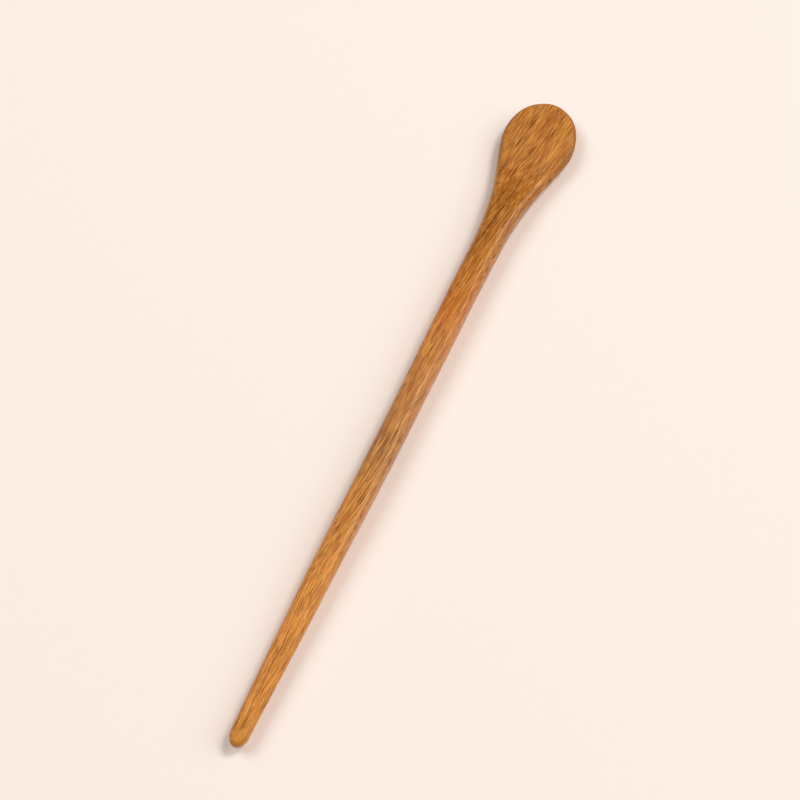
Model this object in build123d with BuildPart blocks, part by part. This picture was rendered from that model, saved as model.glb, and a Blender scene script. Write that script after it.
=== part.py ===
from build123d import *

import os

# A hairpin carved from one piece of wood: a flat teardrop head, a straight shaft and a rounded tip.
# It lies along X, with its tip towards -X and its head towards +X, and its two faces look up and down.

# Places along the pin, in mm
pin_length = 180.0
nose_length = 3.2                # the rounded nose, back from the tip's end
tip_taper_length = 64.0          # the tip grows to the shaft's full thickness over this length
waist_from_tip = 72.0            # the shaft is narrowest about here
neck_from_head_end = 42.0        # the shaft starts to widen into the head
shoulder_from_head_end = 12.1    # the head is widest here
thinning_from_head_end = 38.0    # the faces start to slope towards the thinner head
head_flat_length = 16.0          # the head keeps its own thickness over this length

# Widths across the pin, in mm
nose_width = 4.3
shaft_width = 5.95
neck_width = 7.0
head_width = 18.2

# Thicknesses from face to face, in mm
tip_thickness = 2.8
shaft_thickness = 6.0
head_thickness = 3.7

# The sanded rounding of every long edge, in mm
edge_radius = 1.0

# How one stretch runs into the next: slopes in mm of half width for each mm of length, eases in mm
nose_flare = 0.028
neck_flare = 0.018
neck_ease = 12.8
shoulder_ease = 5.0
tip_thinning_ease = 28.0
shaft_thinning_ease = 20.0
head_thinning_ease = 8.0

# Stations on the X axis, with the middle of the length at 0
tip_x = -pin_length / 2
head_x = pin_length / 2
nose_x = tip_x + nose_length
full_thickness_x = tip_x + tip_taper_length
waist_x = tip_x + waist_from_tip
neck_x = head_x - neck_from_head_end
thinning_x = head_x - thinning_from_head_end
head_flat_x = head_x - head_flat_length
shoulder_x = head_x - shoulder_from_head_end

# The flat of the shaft's underside is at height 0, and the pin is alike above and below its middle plane
middle_plane = Plane.XY.offset(shaft_thickness / 2)
side_plane = Plane(origin=middle_plane.origin, x_dir=(1, 0, 0), z_dir=(0, -1, 0))

with BuildPart() as hairpin:
    # The outline seen from above, as a block as thick as the shaft
    with BuildSketch(middle_plane) as outline:
        with BuildLine():
            EllipticalCenterArc((nose_x, 0), nose_length, nose_width / 2, start_angle=90, arc_size=90)
            shaft_side = Spline(
                (nose_x, nose_width / 2),
                (waist_x, shaft_width / 2),
                (neck_x, neck_width / 2),
                tangents=[(1, nose_flare), (1, neck_flare)],
            )
            Bezier(
                shaft_side @ 1,
                shaft_side @ 1 + Vector(neck_ease, neck_ease * neck_flare),
                (shoulder_x - shoulder_ease, head_width / 2),
                (shoulder_x, head_width / 2),
            )
            EllipticalCenterArc(
                (shoulder_x, 0), shoulder_from_head_end, head_width / 2, start_angle=0, arc_size=90
            )
            mirror(about=Plane.XZ)
        make_face()
    extrude(amount=shaft_thickness / 2, both=True)

    # The thickness seen from the side: thin at the tip, full along the shaft, thinner again at the head
    with BuildSketch(side_plane) as profile:
        with BuildLine():
            tip_end = Line((tip_x, 0), (tip_x, tip_thickness / 2))
            tip_slope = Bezier(
                tip_end @ 1,
                (tip_x + tip_thinning_ease, tip_thickness / 2),
                (full_thickness_x - shaft_thinning_ease, shaft_thickness / 2),
                (full_thickness_x, shaft_thickness / 2),
            )
            shaft_flat = Line(tip_slope @ 1, (thinning_x, shaft_thickness / 2))
            head_slope = Bezier(
                shaft_flat @ 1,
                (thinning_x + head_thinning_ease, shaft_thickness / 2),
                (head_flat_x - head_thinning_ease, head_thickness / 2),
                (head_flat_x, head_thickness / 2),
            )
            head_flat = Line(head_slope @ 1, (head_x, head_thickness / 2))
            Line(head_flat @ 1, (head_x, 0))
            mirror(about=Plane.XZ)
        make_face()
    extrude(amount=head_width, both=True, mode=Mode.INTERSECT)

    # Every edge between a face and the side is sanded round, within what the thin ends leave room for
    thin_end = min(tip_thickness, head_thickness, shaft_thickness)
    nose_radius = (nose_width / 2) ** 2 / nose_length
    face_seams = hairpin.edges().filter_by(Axis.Y)
    side_seams = hairpin.edges().filter_by(Axis.Z)
    rounding = min(edge_radius, 0.45 * thin_end, 0.8 * nose_radius)
    fillet(hairpin.edges() - face_seams - side_seams, radius=rounding)

hairpin.part.label = "hairpin"

os.makedirs("parts", exist_ok=True)
export_step(hairpin.part, "parts/hairpin.step")
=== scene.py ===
import math

import bmesh
import bpy
import numpy as np
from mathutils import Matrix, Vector


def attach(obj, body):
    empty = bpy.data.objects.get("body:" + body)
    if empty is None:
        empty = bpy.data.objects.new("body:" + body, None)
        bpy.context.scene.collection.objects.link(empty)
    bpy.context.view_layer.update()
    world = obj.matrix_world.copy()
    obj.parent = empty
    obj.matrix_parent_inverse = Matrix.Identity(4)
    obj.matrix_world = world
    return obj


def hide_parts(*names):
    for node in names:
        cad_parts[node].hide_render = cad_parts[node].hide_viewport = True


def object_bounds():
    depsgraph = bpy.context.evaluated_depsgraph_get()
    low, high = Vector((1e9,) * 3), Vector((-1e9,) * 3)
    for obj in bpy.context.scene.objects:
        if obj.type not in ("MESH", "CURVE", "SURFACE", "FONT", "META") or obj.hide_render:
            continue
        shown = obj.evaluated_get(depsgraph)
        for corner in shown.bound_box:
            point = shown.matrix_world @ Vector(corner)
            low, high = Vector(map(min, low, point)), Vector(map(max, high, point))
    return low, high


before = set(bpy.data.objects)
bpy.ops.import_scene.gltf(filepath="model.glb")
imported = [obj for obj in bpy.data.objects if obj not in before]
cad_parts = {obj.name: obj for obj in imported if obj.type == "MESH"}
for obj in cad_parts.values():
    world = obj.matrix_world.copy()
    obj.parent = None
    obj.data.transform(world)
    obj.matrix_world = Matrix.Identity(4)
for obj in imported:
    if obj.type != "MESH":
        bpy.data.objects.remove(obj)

# A hairpin carved from one piece of golden-brown wood, lying on a pale table.
# +X runs from the tip to the head, +Z is up, lengths in the dictionaries are millimetres.
mm = 0.001
cadLow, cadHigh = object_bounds()
pinLength = (cadHigh.x - cadLow.x) / mm
headWidth = (cadHigh.y - cadLow.y) / mm
shaftThickness = (cadHigh.z - cadLow.z) / mm
middleHeight = (cadLow.z + cadHigh.z) / 2
samePlace = 0.002 * mm       # vertices closer than this count as level
justPast = 0.001 * mm        # clear of a line by this counts as beyond it
curveSteps = 60              # points on each curve of the outline and profile
print("frame loaded, pin", round(pinLength), "mm long")


# colours are written as sRGB hex, the shader wants linear
def linearColour(hexColour):
    channels = [int(hexColour[i:i + 2], 16) / 255 for i in (1, 3, 5)]
    return [c / 12.92 if c <= 0.04045 else ((c + 0.055) / 1.055) ** 2.4 for c in channels] + [1.0]


# adds one node: settings are its properties or input values, links feed its inputs
def addNode(tree, kind, settings=None, links=None):
    node = tree.nodes.new(kind)
    for name, value in (settings or {}).items():
        if isinstance(name, int) or name in node.inputs:
            node.inputs[name].default_value = value
        else:
            setattr(node, name, value)
    for name, socket in (links or {}).items():
        tree.links.new(socket, node.inputs[name])
    return node


# the carved pin

pin = {
    "noseLength": 3.2,           # rounded nose at the tip
    "noseWidth": 4.3,
    "waistFromTip": 72.0,        # narrowest stretch of the shaft
    "shaftWidth": 5.95,
    "neckFromHeadEnd": 42.0,     # the shaft starts to widen here
    "neckWidth": 7.0,
    "shoulderFromHeadEnd": 12.1,  # widest place of the head
    "noseFlare": 0.028,          # slopes, mm of half width per mm
    "waistFlare": 0.002,
    "neckFlare": 0.018,
    "neckEase": 12.8,
    "shoulderEase": 5.0,
    "headFullness": 0.94,        # 1 would be half an ellipse, less is fuller
    "tipThickness": 2.8,
    "tipTaperLength": 64.0,
    "tipThinningEase": 28.0,
    "shaftThinningEase": 20.0,
    "headThickness": 3.7,
    "thinningFromHeadEnd": 38.0,
    "headFlatLength": 16.0,
    "headThinningEase": 8.0,
    # the faces rise between their edges: mm from the tip, mm
    "faceCrown": [(0, 0.07), (146, 0.07), (160, 0.22), (180, 0.25)],
    "sideCrown": 0.02,
    # carved by eye, so not quite straight: mm from the tip, mm that the middle lies towards the far side
    "bends": [(0, 0.30), (8, 0.37), (30, 0.27), (42, 0.28), (54, 0.14), (66, -0.02), (80, -0.09),
              (104, -0.04), (120, 0.03), (134, -0.10), (152, -0.10), (166, -0.05), (170, 0.03),
              (174, 0.15), (180, 0.22)],
    # nor quite even in width: mm from the tip, mm of half width more
    "swells": [(0, 0.0), (66, 0.0), (80, 0.08), (104, 0.10), (118, 0.04), (132, 0.08), (142, 0.12),
               (152, 0.0)],
    "sandingDips": 0.04,         # shallow unevenness left by sanding
    "dipSize": 9.0,
    "ringGap": 1.2,              # spacing of the rings along the shaft
    "flankGap": 0.72,            # and along the flank, where the outline bends more
    "afterNose": 0.6,            # from the nose's last ring to the shaft's first
    "beforeHead": 0.4,           # least space before the head's first ring
    "noseArc": (8.0, 6.0),       # degrees of the first ring on each rounded end, and between its rings
    "headArc": (3.0, 4.0),
    "arrisSegments": 4,
    "arrisProfile": 0.36,        # 0.25 would be a flat bevel, 0.5 a round one
    "linesAcross": (0, 0.34, 0.68, 0.97),  # cuts along the faces, as shares of their half width
    "endFlat": 0.3,              # share of the width that stays flat where an end runs out
    "smoothingLevels": 1,
    # rounding of the long edges: mm from the tip, mm radius
    "arris": [(0, 0.95), (8, 1.05), (20, 1.15), (38, 1.35), (48, 1.45), (60, 1.20), (70, 1.25),
              (80, 1.45), (92, 1.60), (100, 1.30), (108, 1.15), (120, 1.20), (128, 1.40), (136, 1.50),
              (144, 1.30), (150, 1.40), (155, 1.60), (159, 1.30), (164, 1.00), (180, 0.90)],
}


def bezierPoints(p0, p1, p2, p3):
    t = np.linspace(0, 1, curveSteps)[:, None]
    p0, p1, p2, p3 = (np.array(p, float) for p in (p0, p1, p2, p3))
    return (1 - t) ** 3 * p0 + 3 * t * (1 - t) ** 2 * p1 + 3 * t ** 2 * (1 - t) * p2 + t ** 3 * p3


def easedPoints(start, startSlope, end, endSlope):
    third = (end[0] - start[0]) / 3
    return bezierPoints(start, (start[0] + third, start[1] + third * startSlope),
                        (end[0] - third, end[1] - third * endSlope), end)


# half widths of the outline, from the tip to the head's end
def outlineFromTip():
    angles = np.linspace(0, math.pi / 2, curveSteps)
    nose = np.stack([1 - np.cos(angles), np.sin(angles)], 1) * (pin["noseLength"], pin["noseWidth"] / 2)
    waist = (pin["waistFromTip"], pin["shaftWidth"] / 2)
    neck = (pinLength - pin["neckFromHeadEnd"], pin["neckWidth"] / 2)
    shoulder = (pinLength - pin["shoulderFromHeadEnd"], headWidth / 2)
    lowerShaft = easedPoints(nose[-1], pin["noseFlare"], waist, pin["waistFlare"])
    upperShaft = easedPoints(waist, pin["waistFlare"], neck, pin["neckFlare"])
    neckEase = pin["neckEase"], pin["neckEase"] * pin["neckFlare"]
    flank = bezierPoints(neck, (neck[0] + neckEase[0], neck[1] + neckEase[1]),
                         (shoulder[0] - pin["shoulderEase"], shoulder[1]), shoulder)
    head = np.stack([np.sin(angles), np.cos(angles)], 1).clip(0) ** pin["headFullness"]
    head = head * (pin["shoulderFromHeadEnd"], shoulder[1]) + (shoulder[0], 0)
    outline = np.concatenate([nose, lowerShaft[1:], upperShaft[1:], flank[1:], head[1:]])
    swells = np.array(pin["swells"])
    outline[:, 1] += np.interp(outline[:, 0], swells[:, 0], swells[:, 1])
    return outline


# half thicknesses, from the tip to the head's end
def profileFromTip():
    full = (pin["tipTaperLength"], shaftThickness / 2)
    thinning = (pinLength - pin["thinningFromHeadEnd"], shaftThickness / 2)
    headFlat = (pinLength - pin["headFlatLength"], pin["headThickness"] / 2)
    tipHalf = pin["tipThickness"] / 2
    tipSlope = bezierPoints((0, tipHalf), (pin["tipThinningEase"], tipHalf),
                            (full[0] - pin["shaftThinningEase"], full[1]), full)
    headSlope = bezierPoints(thinning, (thinning[0] + pin["headThinningEase"], thinning[1]),
                             (headFlat[0] - pin["headThinningEase"], headFlat[1]), headFlat)
    return np.concatenate([tipSlope, headSlope, [(pinLength, headFlat[1])]])


# rings of a rounded end, as mm from its very end
def endStations(length, arc):
    first, step = arc
    return length * (1 - np.cos(np.radians(np.arange(first, 90, step))))


# where the rings go: close together round the two ends and along the flank, wider apart on the shaft
def ringStations():
    nose = endStations(pin["noseLength"], pin["noseArc"])
    head = pinLength - endStations(pin["shoulderFromHeadEnd"], pin["headArc"])[::-1]
    flankStart = pinLength - pin["neckFromHeadEnd"]
    shaft = np.arange(nose[-1] + pin["afterNose"], flankStart, pin["ringGap"])
    flank = np.arange(flankStart, head[0] - pin["beforeHead"], pin["flankGap"])
    return np.concatenate([nose, shaft, flank, head])


# one section of the pin: half width, half width of its flat face, half thickness, rounding sideways and
# up, and how far the middle of a face rises
def sectionAt(station, outline, profile, arris, crowns):
    radius = np.interp(station, arris[:, 0], arris[:, 1])
    half = np.interp(station, outline[:, 0], outline[:, 1]) - pin["sideCrown"]
    crown = np.interp(station, crowns[:, 0], crowns[:, 1])
    thick = np.interp(station, profile[:, 0], profile[:, 1]) - crown
    radii = np.interp(outline[:, 0], arris[:, 0], arris[:, 1])
    along, across = np.gradient(outline[:, 0]), np.gradient(outline[:, 1])
    length = np.hypot(along, across)
    rimX = outline[:, 0] + radii * across / length
    rimY = outline[:, 1] - radii * along / length
    flat = max(np.interp(station, rimX, rimY, left=0, right=0), pin["endFlat"] * half)
    toEnd = min(station, pinLength - station, radius)
    rise = math.sqrt(radius ** 2 - (radius - toEnd) ** 2)
    intoHead = 1 - (pinLength - station) / pin["shoulderFromHeadEnd"]
    intoNose = 1 - station / pin["noseLength"]
    return half, flat, thick, radius, rise, crown * (1 - max(0, intoHead, intoNose) ** 2)


def near(a, b):
    return abs(a - b) < samePlace


# in edit mode, selects these vertices or edges and nothing else
def pick(elements):
    bpy.ops.mesh.select_all(action="DESELECT")
    for element in elements:
        element.select = True


def cutAll(place, normal):
    bpy.ops.mesh.select_all(action="SELECT")
    bpy.ops.mesh.bisect(plane_co=place, plane_no=normal)


def carvePin():
    outline, profile = outlineFromTip(), profileFromTip()
    arris, crowns, bends = (np.array(pin[name]) for name in ("arris", "faceCrown", "bends"))
    softest = arris[:, 1].max() * mm
    halfWidth, halfThickness = headWidth / 2 * mm, shaftThickness / 2 * mm
    blankFlat, blankRise = halfWidth - softest, halfThickness - softest

    # a blank of wood as large as the finished pin, with its four long edges rounded
    bpy.ops.object.select_all(action="DESELECT")
    bpy.ops.mesh.primitive_cube_add(size=1, scale=(pinLength * mm, headWidth * mm, shaftThickness * mm))
    blank = bpy.context.object
    blank.name = "carvedHairpin"
    bpy.ops.object.transform_apply(location=False, rotation=False, scale=True)
    mesh = blank.data
    bpy.ops.object.mode_set(mode="EDIT")
    editMesh = bmesh.from_edit_mesh(mesh)
    bpy.ops.mesh.select_mode(type="EDGE")
    pick(edge for edge in editMesh.edges if not near(edge.verts[0].co.x, edge.verts[1].co.x))
    bpy.ops.mesh.bevel(offset=softest, segments=pin["arrisSegments"], profile=pin["arrisProfile"],
                       affect="EDGES")

    # cuts along the sides and faces, and one across for each ring
    bpy.ops.mesh.select_mode(type="VERT")
    stations = ringStations()
    places = [cadLow.x, *(cadLow.x + stations[1:-1] * mm), cadHigh.x]
    cutAll((0, 0, 0), (0, 0, 1))
    for share in pin["linesAcross"]:
        for y in {share * blankFlat, -share * blankFlat}:
            cutAll((0, y, 0), (0, 1, 0))
    for x in places[1:-1]:
        cutAll((x, 0, 0), (1, 0, 0))

    # the sides rise a little towards their middle
    pick(vert for vert in editMesh.verts if near(vert.co.z, 0) and abs(vert.co.y) > blankFlat)
    sideRise = pin["sideCrown"] * mm / halfWidth
    bpy.ops.transform.resize(value=(1, 1 + sideRise, 1), center_override=(0, 0, 0))

    # each ring is drawn in to the section there: the flats, the rounded sides, the faces and their crown
    for x, station in zip(places, stations):
        ring = [vert for vert in editMesh.verts if near(vert.co.x, x)]
        sizes = sectionAt(station, outline, profile, arris, crowns)
        half, flat, thick, radius, rise, crown = (size * mm for size in sizes)
        arrisStart = thick - radius
        draw = flat / blankFlat, arrisStart / blankRise
        pick(ring)
        bpy.ops.transform.resize(value=(1, *draw), center_override=(x, 0, 0))
        for side in (1, -1):
            pick(vert for vert in ring if side * vert.co.y > flat + justPast)
            bpy.ops.transform.resize(value=(1, (half - flat) / (softest * draw[0]), 1),
                                     center_override=(x, side * flat, 0))
            pick(vert for vert in ring if side * vert.co.z > arrisStart + justPast)
            bpy.ops.transform.resize(value=(1, 1, rise / (softest * draw[1])),
                                     center_override=(x, 0, side * arrisStart))
        faces = [vert for vert in ring if abs(vert.co.z) > arrisStart + justPast]
        for share in pin["linesAcross"]:
            pick(vert for vert in faces if near(abs(vert.co.y), share * flat))
            lift = crown * (1 - share ** 2) / (arrisStart + rise)
            bpy.ops.transform.resize(value=(1, 1, 1 + lift), center_override=(x, 0, 0))
        pick(ring)
        aside = np.interp(station, bends[:, 0], bends[:, 1])
        bpy.ops.transform.translate(value=(0, aside * mm, 0))
    bpy.ops.mesh.select_all(action="SELECT")
    bpy.ops.transform.translate(value=(0, 0, middleHeight))
    bpy.ops.object.mode_set(mode="OBJECT")
    smoothing = blank.modifiers.new("smoothing", "SUBSURF")
    smoothing.levels = smoothing.render_levels = pin["smoothingLevels"]
    bpy.ops.object.modifier_apply(modifier=smoothing.name)

    # the sanding left the surface a little uneven
    unevenness = bpy.data.textures.new("sandingDips", "CLOUDS")
    unevenness.noise_scale = pin["dipSize"] * mm
    dips = blank.modifiers.new("sandingDips", "DISPLACE")
    dips.texture = unevenness
    dips.texture_coords = "LOCAL"
    dips.strength = pin["sandingDips"] * mm
    dips.mid_level = 1.0         # so they only go inwards
    bpy.ops.object.modifier_apply(modifier=dips.name)
    bpy.ops.object.shade_smooth()
    print("pin carved,", len(mesh.polygons), "faces")
    return blank


# the wood

wood = {
    # what the fibres do: mm from the tip, mm that they have drifted towards the near side
    "grainDrift": [(0, 0.0), (30, 0.7), (45, 1.6), (65, 4.3), (85, 5.9), (110, 7.4), (130, 9.2),
                   (150, 12.0), (180, 16.0)],
    "driftRange": 16.0,
    "waver": 0.3,                # mm, how far single fibres wander about that line
    "waverLong": 20,             # mm over which they do so, along the pin and across it
    "waverWide": 2.5,
    # ground colour: mm from the tip
    "tones": [(2, "#d68e36"), (14, "#de8f36"), (40, "#e09440"), (58, "#d38f4a"), (75, "#b07a50"),
              (90, "#c48650"), (104, "#ca8244"), (118, "#c16d26"), (132, "#ad6825"), (146, "#a26126"),
              (158, "#b97124"), (178, "#bf7624")],
    # round the head and at the tip the rim is darkened where the surface turns sideways: painted shade, as
    # if less light fell on it there: mm from the tip, share
    "rimShadeColour": "#7c5634",
    "rimShadeTurn": (0.99, 0.7),      # how level the surface is where the rim starts, and where it is full
    "rimShade": [(0, 0.15), (6, 0.0), (148, 0.0), (160, 0.18), (168, 0.42), (180, 0.52)],
    # streaks of fibres: mm wide, mm long, noise from and to, colour, strength
    "streaks": [(2.6, 50, 0.45, 0.68, "#90581f", 0.22), (1.8, 36, 0.46, 0.70, "#d29445", 0.20),
                (0.75, 13, 0.46, 0.64, "#874c16", 0.12), (0.50, 10, 0.48, 0.66, "#dc9f4f", 0.13),
                (0.17, 5.0, 0.50, 0.60, "#7c4410", 0.64), (0.17, 4.5, 0.51, 0.62, "#e6ab56", 0.60)],
    "broadDetail": 3.0,          # octaves of noise in broad streaks, and in fine ones
    "fineDetail": 1.0,
    "fineBelow": 0.3,            # mm wide
    "seedShift": (3.7, 5.3, 1.9),  # how far the noise moves for each seed
    # more masks of streaks: mm wide, mm long, noise from and to, seed, and strength if less than full
    "patchBreaks": (0.5, 5.0, 0.30, 0.55, 21),
    "lineBreaks": (0.3, 1.8, 0.28, 0.44, 22),
    "poreClusters": (1.6, 12, 0.38, 0.58, 31),
    "pores": (0.18, 2.2, 0.57, 0.65, 32, 0.50),  # wider than real ones, so that the picture shows them
    "proudFibres": (0.28, 6, 0.3, 0.7, 41),
    # thin dark lines between bundles of fibres, in the creases of a noise, and where they come and go
    "fibreLines": (0.50, 12, 0.024, 0.002, 51, 0.38),
    "creaseDetail": 0.0,
    "lineStretches": (0.5, 5.0, 0.42, 0.56, 52),
    # how clearly the lines show: mm from the tip, share
    "clearness": [(0, 0.3), (8, 0.6), (14, 1.0), (28, 0.9), (45, 0.8), (55, 0.9), (75, 0.75),
                  (100, 0.6), (112, 0.4), (126, 0.45), (136, 0.9), (150, 0.8), (180, 1.0)],
    "poreColour": "#5f3008",
    "reliefDepth": 0.025,
    "reliefStrength": 0.35,
    "poreSink": -1.5,            # height of a pore, where a proud fibre has 1
    # roughness: between the proud fibres and on them, and added to it: mm from the tip, more
    "roughness": (0.12, 0.22),
    "duller": [(0, 0.20), (12, 0.28), (20, 0.24), (30, 0.20), (46, 0.19), (54, 0.07), (66, 0.08),
               (74, 0.16), (95, 0.15), (101, 0.22), (109, 0.20), (114, 0.12), (124, 0.12), (130, 0.05),
               (140, 0.05), (145, 0.0), (151, 0.0), (154, 0.06), (157, 0.26), (162, 0.36), (180, 0.36)],
    "refraction": 1.5,
    "sheenColour": "#ffe8d0",    # light comes back from inside the fibres, so it is tinted
}

# marks seen in the wood: soft spots drawn out along the fibres, "slender" times as long as wide, at full
# strength within a share of their width, and the deeper the smaller their "depth" is. Spots of each
# face: mm from the tip, mm towards the far side, mm wide, strength
marks = {
    "lightStreaksAndHighlight": {
        "colour": "#efb765", "slender": 12, "core": 0.3, "depth": 0.12,
        # the spot at 131 mm, towards the near edge, is a painted highlight lightening that side of the
        # face; the other spots are light streaks in the wood
        "top": [(15, 1.05, 0.55, 0.60), (93, -1.35, 1.2, 0.40), (131, -1.5, 1.2, 0.45),
                (166, -4.9, 1.3, 0.40), (174, 1.8, 0.8, 0.40)],
        "under": [(64, 1.1, 0.6, 0.50)],
    },
    "goldenPatches": {
        "colour": "#c08a28", "slender": 5, "core": 0.3, "depth": 0.6,
        "top": [(46.5, 1.4, 2.0, 0.55), (104, 1.2, 1.8, 0.50), (145, -1.6, 1.6, 0.45),
                (161, 5.6, 1.8, 0.60), (173, -4.7, 2.8, 0.60), (164, 4.0, 0.9, 0.50)],
        "under": [(36, 0.8, 1.8, 0.50), (168, 3.6, 3.0, 0.50)],
    },
    "olivePatches": {
        "colour": "#6d4f1c", "slender": 4, "core": 0.3, "depth": 0.6,
        "top": [(8.2, -0.25, 0.35, 0.50), (69, 1.8, 2.6, 0.55), (74, 0.4, 3.8, 0.42),
                (132, 2.1, 2.0, 0.60), (161, 0.4, 2.2, 0.50), (154.5, -0.7, 1.2, 0.60)],
        "under": [(70, -0.6, 3.2, 0.50)],
    },
    "redPatches": {
        "colour": "#a04a14", "slender": 5, "core": 0.3, "depth": 0.6,
        "top": [(44, 0.0, 1.4, 0.40), (83, -2.2, 1.4, 0.35), (107.5, -0.6, 1.1, 0.60),
                (121, 1.0, 1.6, 0.60), (142, 2.6, 1.3, 0.50), (152, 1.4, 1.8, 0.60),
                (175, -0.8, 3.4, 0.55), (171, 4.8, 1.2, 0.50), (172, -7.0, 2.6, 0.40)],
        "under": [(124, -0.9, 1.8, 0.50)],
    },
    "darkDashes": {
        "colour": "#6a3204", "slender": 11, "core": 0.5, "depth": 0.12,
        "top": [(53, 0.85, 0.27, 0.75), (57.5, 0.05, 0.27, 0.70), (61, -0.60, 0.28, 0.70),
                (65, -1.20, 0.27, 0.60), (141.5, 0.85, 0.40, 0.70), (144.5, 0.20, 0.40, 0.65),
                (148, 1.85, 0.48, 0.85), (149.3, 2.40, 0.32, 0.70), (154, -0.65, 0.44, 0.75),
                (157, -0.80, 0.40, 0.80), (160, -1.15, 0.40, 0.80), (163, -2.90, 0.38, 0.80),
                (157, 1.60, 0.34, 0.95), (164, 0.20, 0.34, 0.70), (165.3, 4.00, 0.40, 0.85),
                (175.3, -1.65, 0.32, 0.90), (161.5, -5.60, 0.34, 0.60), (161, -4.20, 0.32, 0.60),
                (176, -2.95, 0.44, 0.90)],
        "under": [(44, 0.30, 0.40, 0.70), (118, -0.20, 0.40, 0.60), (158, 4.10, 0.44, 0.60)],
    },
    "darkLines": {
        "colour": "#6a3204", "slender": 18, "core": 0.5, "depth": 0.12,
        "top": [(23, 0.30, 0.42, 0.45), (23.5, -0.40, 0.42, 0.40), (33, 0.65, 0.30, 0.40),
                (51.5, 0.95, 0.30, 0.60), (88, -0.90, 0.40, 0.45), (93, 0.80, 0.42, 0.55),
                (102.5, 0.15, 0.36, 0.60), (110, 0.90, 0.30, 0.40), (136.8, 1.45, 0.56, 0.95),
                (134.5, 2.00, 0.40, 0.70), (150, -0.45, 0.46, 0.75), (156.5, 1.70, 0.42, 0.70),
                (155.5, 2.70, 0.40, 0.70), (157.5, 4.75, 0.50, 0.90), (171.5, 3.05, 0.42, 0.80),
                (172.5, 3.60, 0.38, 0.60), (170.5, -2.55, 0.44, 0.85), (174.5, -0.40, 0.40, 0.70),
                (175.5, -1.10, 0.40, 0.70), (165.5, -8.20, 0.36, 0.50), (168, 6.90, 0.34, 0.40),
                (174, 6.40, 0.30, 0.40)],
        "under": [(60, -0.70, 0.50, 0.70), (150, 0.80, 0.66, 0.80), (164, -3.20, 0.66, 0.75),
                  (172, -0.40, 0.56, 0.70)],
    },
    "hairLines": {
        "colour": "#6e3a0c", "slender": 40, "core": 0.4, "depth": 0.12,
        "top": [(19.5, 0.50, 0.38, 0.60), (55, 0.40, 0.27, 0.60), (99, -2.30, 0.36, 0.60),
                (75, -1.5, 0.34, 0.45)],
        "under": [(40, 0.30, 0.36, 0.60), (96, 0.60, 0.40, 0.70)],
    },
}


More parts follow.
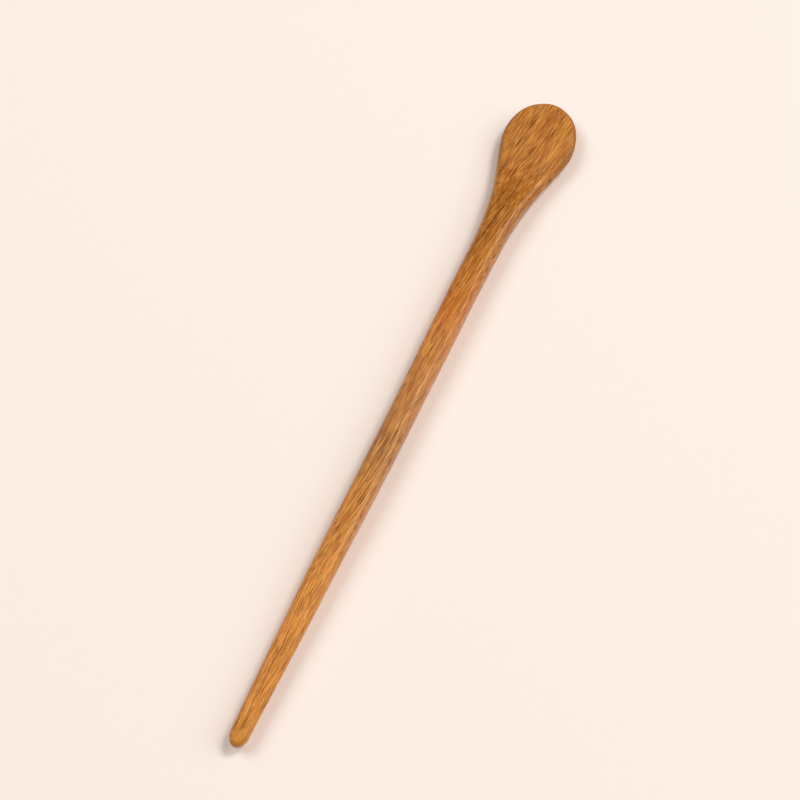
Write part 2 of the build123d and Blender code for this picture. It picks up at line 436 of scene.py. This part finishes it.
# a fine-grained tropical hardwood, carved, sanded along its length and waxed: straight fibres that change
# tone in long streaks, short dark pores, and a soft satin shine that the fibres break up
def finishWood():
    material = bpy.data.materials.new("waxedHardwood")
    material.use_nodes = True
    tree = material.node_tree
    tree.nodes.clear()

    # places in millimetres, turned so that Y stays with the same fibres all along the pin
    place = addNode(tree, "ShaderNodeTexCoord")
    inMm = addNode(tree, "ShaderNodeMapping", {"Scale": (1 / mm, 1 / mm, 1 / mm)},
                   {"Vector": place.outputs["Object"]})
    axes = addNode(tree, "ShaderNodeSeparateXYZ", links={"Vector": inMm.outputs["Vector"]})
    fromTip = addNode(tree, "ShaderNodeMapRange", {"From Min": cadLow.x / mm, "From Max": cadHigh.x / mm},
                      {"Value": axes.outputs["X"]})

    # a value that changes along the pin, from pairs of mm from the tip and value
    def alongPin(pairs, highest=1.0):
        node = addNode(tree, "ShaderNodeFloatCurve", links={"Value": fromTip.outputs["Result"]})
        curve = node.mapping.curves[0]
        curve.points[0].location = (0, pairs[0][1] / highest)
        curve.points[1].location = (1, pairs[-1][1] / highest)
        for along, value in pairs[1:-1]:
            curve.points.new(along / pinLength, value / highest)
        node.mapping.update()
        return node

    drift = alongPin(wood["grainDrift"], wood["driftRange"])
    following = addNode(tree, "ShaderNodeMath", {"operation": "MULTIPLY_ADD", 1: wood["driftRange"]},
                        {0: drift.outputs["Value"], 2: axes.outputs["Y"]})
    waverLong, waverWide = wood["waverLong"], wood["waverWide"]
    waverPlace = addNode(tree, "ShaderNodeMapping",
                         {"Scale": (1 / waverLong, 1 / waverWide, 1 / waverWide)},
                         {"Vector": inMm.outputs["Vector"]})
    waver = addNode(tree, "ShaderNodeTexNoise", {"Scale": 1.0, "Detail": wood["fineDetail"]},
                    {"Vector": waverPlace.outputs["Vector"]})
    wavered = addNode(tree, "ShaderNodeMath", {"operation": "MULTIPLY_ADD", 1: wood["waver"]},
                      {0: waver.outputs["Fac"], 2: following.outputs["Value"]})
    grain = addNode(tree, "ShaderNodeCombineXYZ",
                    links={"X": axes.outputs["X"], "Y": wavered.outputs["Value"], "Z": axes.outputs["Z"]})

    # a mask of long streaks, as wide and long as given
    def streakMask(wide, long, low, high, seed, strength=1.0, detail=wood["broadDetail"], noiseType="FBM"):
        moved = tuple(seed * shift for shift in wood["seedShift"])
        shape = addNode(tree, "ShaderNodeMapping",
                        {"Scale": (1 / long, 1 / wide, 1 / wide), "Location": moved},
                        {"Vector": grain.outputs["Vector"]})
        noise = addNode(tree, "ShaderNodeTexNoise",
                        {"noise_type": noiseType, "Scale": 1.0, "Detail": detail},
                        {"Vector": shape.outputs["Vector"]})
        return addNode(tree, "ShaderNodeMapRange",
                       {"interpolation_type": "SMOOTHSTEP", "From Min": low, "From Max": high,
                        "To Max": strength},
                       {"Value": noise.outputs["Fac"]})

    tones = addNode(tree, "ShaderNodeValToRGB", links={"Fac": fromTip.outputs["Result"]})
    tones.color_ramp.interpolation = "EASE"
    while len(tones.color_ramp.elements) < len(wood["tones"]):
        tones.color_ramp.elements.new(1.0)
    for element, (along, colour) in zip(tones.color_ramp.elements, wood["tones"]):
        element.position = along / pinLength
        element.color = linearColour(colour)
    colour = tones.outputs["Color"]

    # one more colour laid over what is there, where the mask is: inputs 6 and 7 of the mix are its two
    # colours and output 2 the result
    def layOver(under, maskSocket, overColour):
        mixed = addNode(tree, "ShaderNodeMix", {"data_type": "RGBA", 7: linearColour(overColour)},
                        {0: maskSocket, 6: under})
        return mixed.outputs[2]

    faceHeights = profileFromTip()

    # the spots of one kind of mark, joined to one mask: places are squeezed along the fibres and in depth,
    # so that a round spot in them is a long thin mark near its face
    def markMask(kind):
        squeezed = addNode(tree, "ShaderNodeMapping", {"Scale": (1 / kind["slender"], 1, kind["depth"])},
                           {"Vector": grain.outputs["Vector"]})
        spots = [(*spot, 1) for spot in kind["top"]] + [(*spot, -1) for spot in kind["under"]]
        mask = None
        for along, aside, wide, strength, side in spots:
            drifted = drift.mapping.evaluate(drift.mapping.curves[0], along / pinLength)
            drifted = drifted * wood["driftRange"] + wood["waver"] / 2
            height = middleHeight / mm + side * np.interp(along, faceHeights[:, 0], faceHeights[:, 1])
            spotPlace = (cadLow.x / mm + along) / kind["slender"], aside + drifted, height * kind["depth"]
            away = addNode(tree, "ShaderNodeVectorMath", {"operation": "DISTANCE", 1: spotPlace},
                           {0: squeezed.outputs["Vector"]})
            spot = addNode(tree, "ShaderNodeMapRange",
                           {"interpolation_type": "SMOOTHSTEP", "From Min": wide / 2,
                            "From Max": kind["core"] * wide / 2, "To Max": strength},
                           {"Value": away.outputs["Value"]})
            if mask is None:
                mask = spot.outputs["Result"]
            else:
                joined = addNode(tree, "ShaderNodeMath", {"operation": "MAXIMUM"},
                                 {0: mask, 1: spot.outputs["Result"]})
                mask = joined.outputs["Value"]
        return mask

    def layMark(under, kind, breaks):
        broken = addNode(tree, "ShaderNodeMath", {"operation": "MULTIPLY"},
                         {0: markMask(kind), 1: breaks.outputs["Result"]})
        return layOver(under, broken.outputs["Value"], kind["colour"])

    patchBreaks = streakMask(*wood["patchBreaks"])
    lineBreaks = streakMask(*wood["lineBreaks"])

    # light streaks with one painted highlight among them, then patches of colour
    for name in ("lightStreaksAndHighlight", "goldenPatches", "olivePatches", "redPatches"):
        colour = layMark(colour, marks[name], patchBreaks)

    for seed, (wide, long, low, high, streakColour, strength) in enumerate(wood["streaks"]):
        detail = wood["fineDetail"] if wide < wood["fineBelow"] else wood["broadDetail"]
        streaks = streakMask(wide, long, low, high, seed, strength, detail)
        colour = layOver(colour, streaks.outputs["Result"], streakColour)

    # the fibre lines follow the creases of a noise and come and go
    clearness = alongPin(wood["clearness"])
    creases = streakMask(*wood["fibreLines"], detail=wood["creaseDetail"],
                         noiseType="RIDGED_MULTIFRACTAL")
    stretches = streakMask(*wood["lineStretches"])
    lines = addNode(tree, "ShaderNodeMath", {"operation": "MULTIPLY"},
                    {0: creases.outputs["Result"], 1: stretches.outputs["Result"]})
    lineMask = addNode(tree, "ShaderNodeMath", {"operation": "MULTIPLY"},
                       {0: lines.outputs["Value"], 1: clearness.outputs["Value"]})
    colour = layOver(colour, lineMask.outputs["Value"], wood["poreColour"])

    # pores stand in loose clusters
    clusters = streakMask(*wood["poreClusters"])
    pores = streakMask(*wood["pores"], detail=wood["fineDetail"])
    poreMask = addNode(tree, "ShaderNodeMath", {"operation": "MULTIPLY"},
                       {0: pores.outputs["Result"], 1: clusters.outputs["Result"]})
    colour = layOver(colour, poreMask.outputs["Value"], wood["poreColour"])

    for name in ("darkDashes", "darkLines", "hairLines"):
        colour = layMark(colour, marks[name], lineBreaks)

    # painted shade: the rim is darkened where the surface turns sideways, as if less light reached it
    # there
    facing = addNode(tree, "ShaderNodeSeparateXYZ", links={"Vector": place.outputs["Normal"]})
    level = addNode(tree, "ShaderNodeMath", {"operation": "ABSOLUTE"}, {0: facing.outputs["Z"]})
    shadeStart, shadeFull = wood["rimShadeTurn"]
    sidewaysShade = addNode(tree, "ShaderNodeMapRange",
                       {"interpolation_type": "SMOOTHSTEP", "From Min": shadeStart, "From Max": shadeFull},
                       {"Value": level.outputs["Value"]})
    # how strong the painted shade is along the pin
    rimShadeAlong = alongPin(wood["rimShade"])
    rimShade = addNode(tree, "ShaderNodeMath", {"operation": "MULTIPLY"},
                  {0: sidewaysShade.outputs["Result"], 1: rimShadeAlong.outputs["Value"]})
    colour = layOver(colour, rimShade.outputs["Value"], wood["rimShadeColour"])

    # the fibres stand a little proud and the pores lie open; the wax fills neither quite
    fibres = streakMask(*wood["proudFibres"])
    height = addNode(tree, "ShaderNodeMath", {"operation": "MULTIPLY_ADD", 1: wood["poreSink"]},
                     {0: poreMask.outputs["Value"], 2: fibres.outputs["Result"]})
    relief = addNode(tree, "ShaderNodeBump",
                     {"Strength": wood["reliefStrength"], "Distance": wood["reliefDepth"] * mm},
                     {"Height": height.outputs["Value"]})
    smoothest, roughest = wood["roughness"]
    waxed = addNode(tree, "ShaderNodeMapRange", {"To Min": smoothest, "To Max": roughest},
                    {"Value": fibres.outputs["Result"]})
    duller = alongPin(wood["duller"])
    sheen = addNode(tree, "ShaderNodeMath", {"operation": "ADD"},
                    {0: waxed.outputs["Result"], 1: duller.outputs["Value"]})
    shader = addNode(tree, "ShaderNodeBsdfPrincipled",
                     {"IOR": wood["refraction"], "Specular Tint": linearColour(wood["sheenColour"])},
                     {"Base Color": colour, "Roughness": sheen.outputs["Value"],
                      "Normal": relief.outputs["Normal"]})
    addNode(tree, "ShaderNodeOutputMaterial", links={"Surface": shader.outputs["BSDF"]})
    print("wood finished,", len(tree.nodes), "nodes")
    return material


# the table, the light and the camera

studio = {
    "tableColour": "#f8f5f6",
    "tableSize": 3.0,            # metres
    "tableRoughness": 0.8,
    "worldColour": "#ffe0cc",
    "worldStrength": 0.232,
}

# softboxes: metres wide, watts, degrees to the camera's right, degrees up, metres away, colour
softboxes = {
    "nearSoftbox": (2.0, 25.0, 88, 34, 3.0, "#fffefa"),
    "farSoftbox": (2.0, 34.5, -114, 52, 3.0, "#fffefa"),
    "edgeSoftbox": (0.95, 28.5, 118, 57, 2.4, "#fff2e4"),  # gives the near edge its bright line
}

photoView = {
    "azimuth": -65.9,            # degrees round the pin, 0 looks along +Y
    "elevation": 62.5,
    "distance": 420.0,
    "lens": 81.75,               # mm on a 36 mm wide sensor
    "aimRight": -2.28,           # where the middle of the picture lies from the pin's middle
    "aimUp": 1.08,
    "clipStart": 10.0,
}


def directionFrom(azimuth, elevation):
    a, e = math.radians(azimuth), math.radians(elevation)
    return Vector((math.sin(a) * math.cos(e), -math.cos(a) * math.cos(e), math.sin(e)))


def setStage():
    bpy.ops.mesh.primitive_plane_add(size=studio["tableSize"], location=(0, 0, 0))
    table = bpy.context.object
    table.name = "table"
    material = bpy.data.materials.new("paleTable")
    material.use_nodes = True
    shader = material.node_tree.nodes["Principled BSDF"]
    shader.inputs["Base Color"].default_value = linearColour(studio["tableColour"])
    shader.inputs["Roughness"].default_value = studio["tableRoughness"]
    table.data.materials.append(material)

    world = bpy.data.worlds.new("softRoom")
    bpy.context.scene.world = world
    world.use_nodes = True
    background = world.node_tree.nodes["Background"]
    background.inputs["Color"].default_value = linearColour(studio["worldColour"])
    background.inputs["Strength"].default_value = studio["worldStrength"]

    for name, (size, power, azimuth, elevation, distance, colour) in softboxes.items():
        light = bpy.data.lights.new(name, "AREA")
        light.shape = "DISK"
        light.size = size
        light.energy = power
        light.color = linearColour(colour)[:3]
        softbox = bpy.data.objects.new(name, light)
        bpy.context.scene.collection.objects.link(softbox)
        towards = directionFrom(photoView["azimuth"] + azimuth, elevation)
        softbox.location = towards * distance
        softbox.rotation_mode = "QUATERNION"
        softbox.rotation_quaternion = towards.to_track_quat("Z", "Y")

    lens = bpy.data.cameras.new("photoCamera")
    lens.lens = photoView["lens"]
    lens.clip_start = photoView["clipStart"] * mm
    camera = bpy.data.objects.new("photoCamera", lens)
    bpy.context.scene.collection.objects.link(camera)
    back = directionFrom(photoView["azimuth"], photoView["elevation"])
    camera.rotation_mode = "QUATERNION"
    camera.rotation_quaternion = back.to_track_quat("Z", "Y")
    right = camera.rotation_quaternion @ Vector((1, 0, 0))
    up = camera.rotation_quaternion @ Vector((0, 1, 0))
    aim = (right * photoView["aimRight"] + up * photoView["aimUp"]) * mm
    camera.location = aim + back * photoView["distance"] * mm
    bpy.context.scene.camera = camera
    bpy.context.scene.view_settings.view_transform = "Standard"
    print("stage set")


hairpin = carvePin()
hairpin.data.materials.append(finishWood())
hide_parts("hairpin")
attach(hairpin, "root")
setStage()
